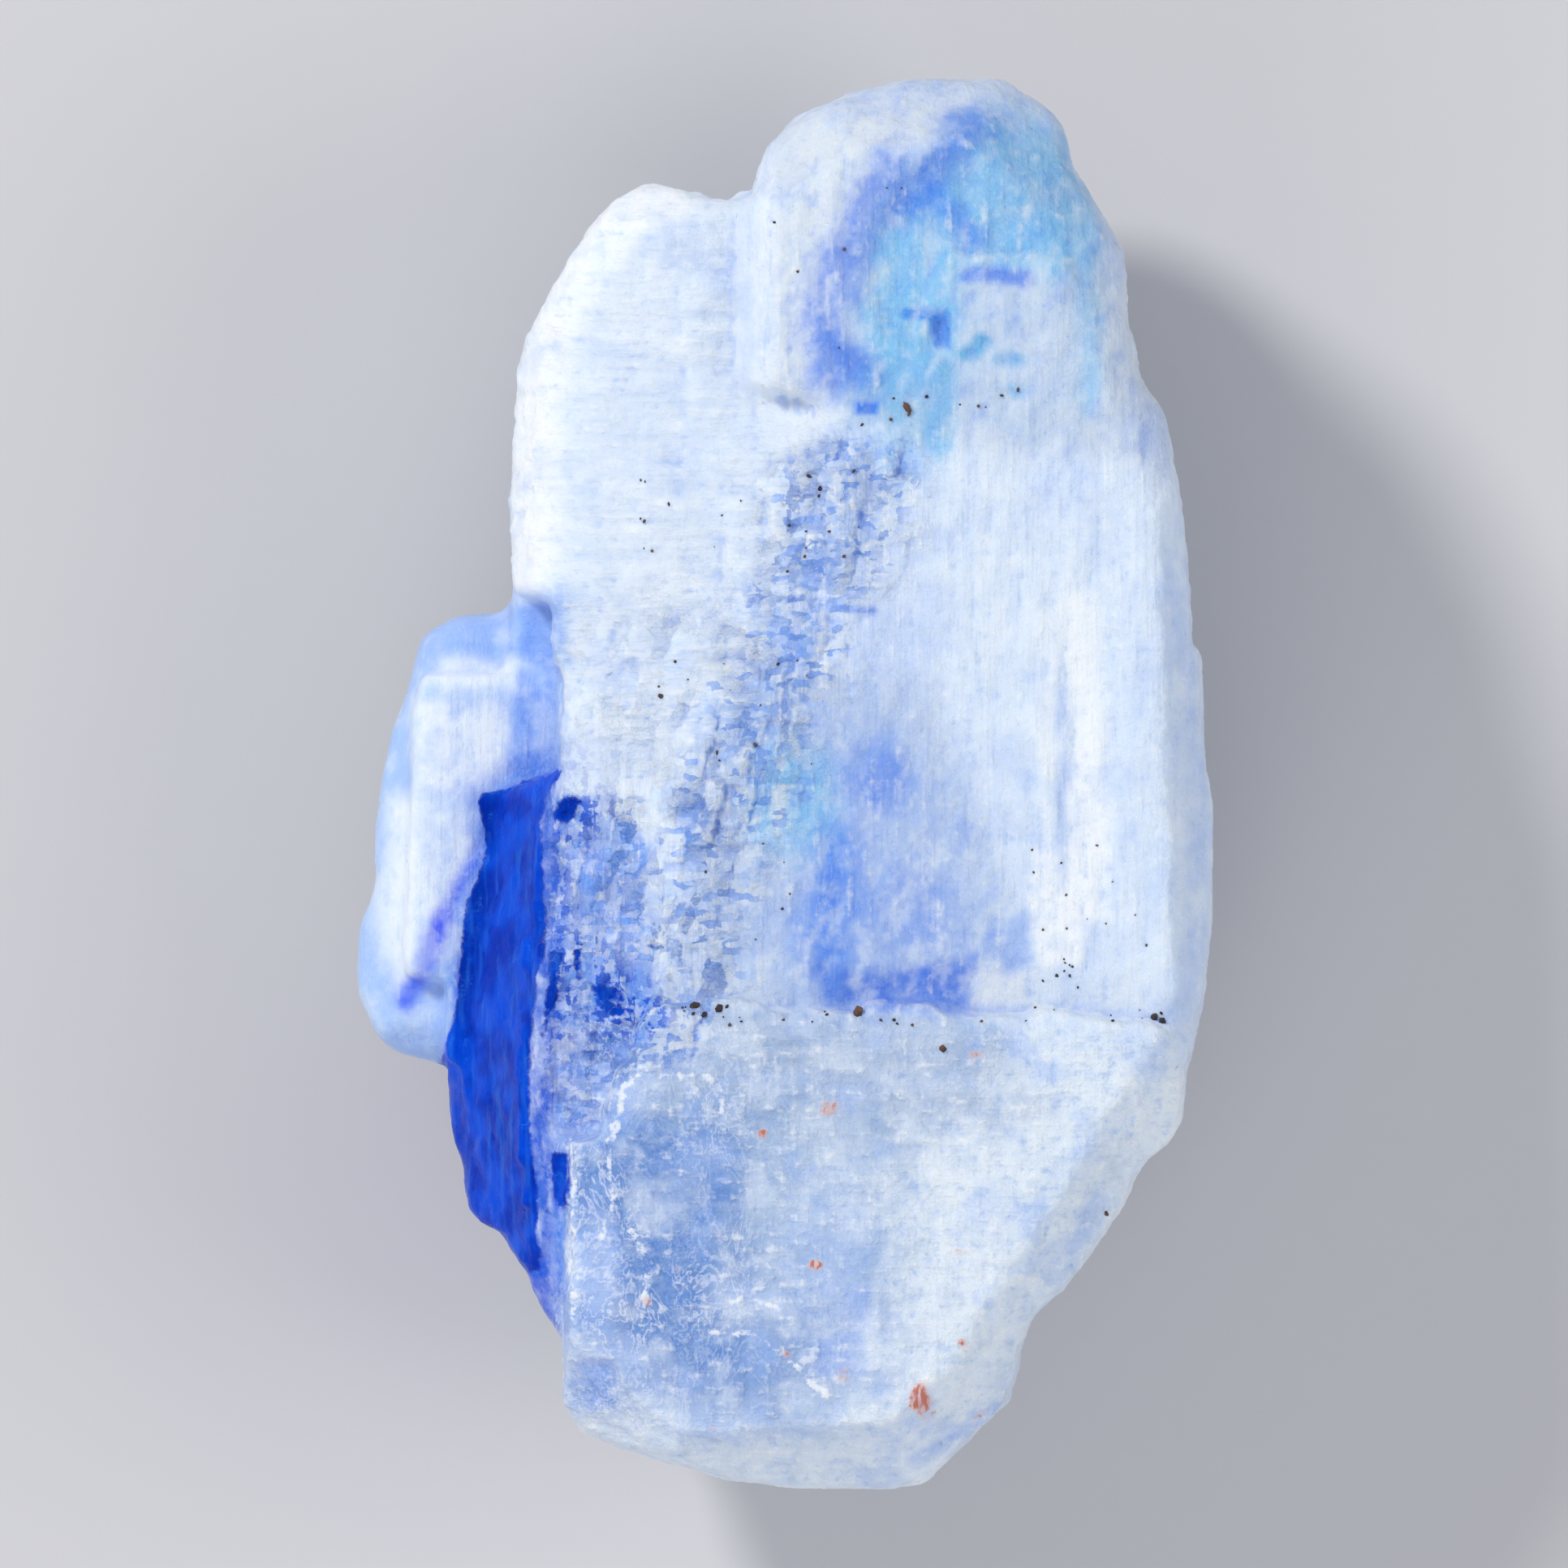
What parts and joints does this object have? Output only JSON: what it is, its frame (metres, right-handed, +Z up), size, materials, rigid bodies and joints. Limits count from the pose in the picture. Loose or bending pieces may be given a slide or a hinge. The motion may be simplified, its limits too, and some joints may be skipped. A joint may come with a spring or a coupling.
{
  "type": "halite crystal cluster",
  "caption": "Cleaved lump of clear to milky rock salt with cobalt-blue zones, grown together from stepped cubic crystals; lies on its back",
  "frame": {"origin": "on the resting plane, below the middle of the lump's outline as seen from above", "axes": "+Z up from the resting plane, +Y along the length to the crown end, +X to the right seen from above"},
  "size_m": [0.0316, 0.052, 0.0207],
  "materials": {
    "halite": "frosted, milky rock salt with cobalt, violet and cyan zones"
  },
  "bodies": {
    "root": {"halite_cluster": "halite"}
  },
  "joints": []
}
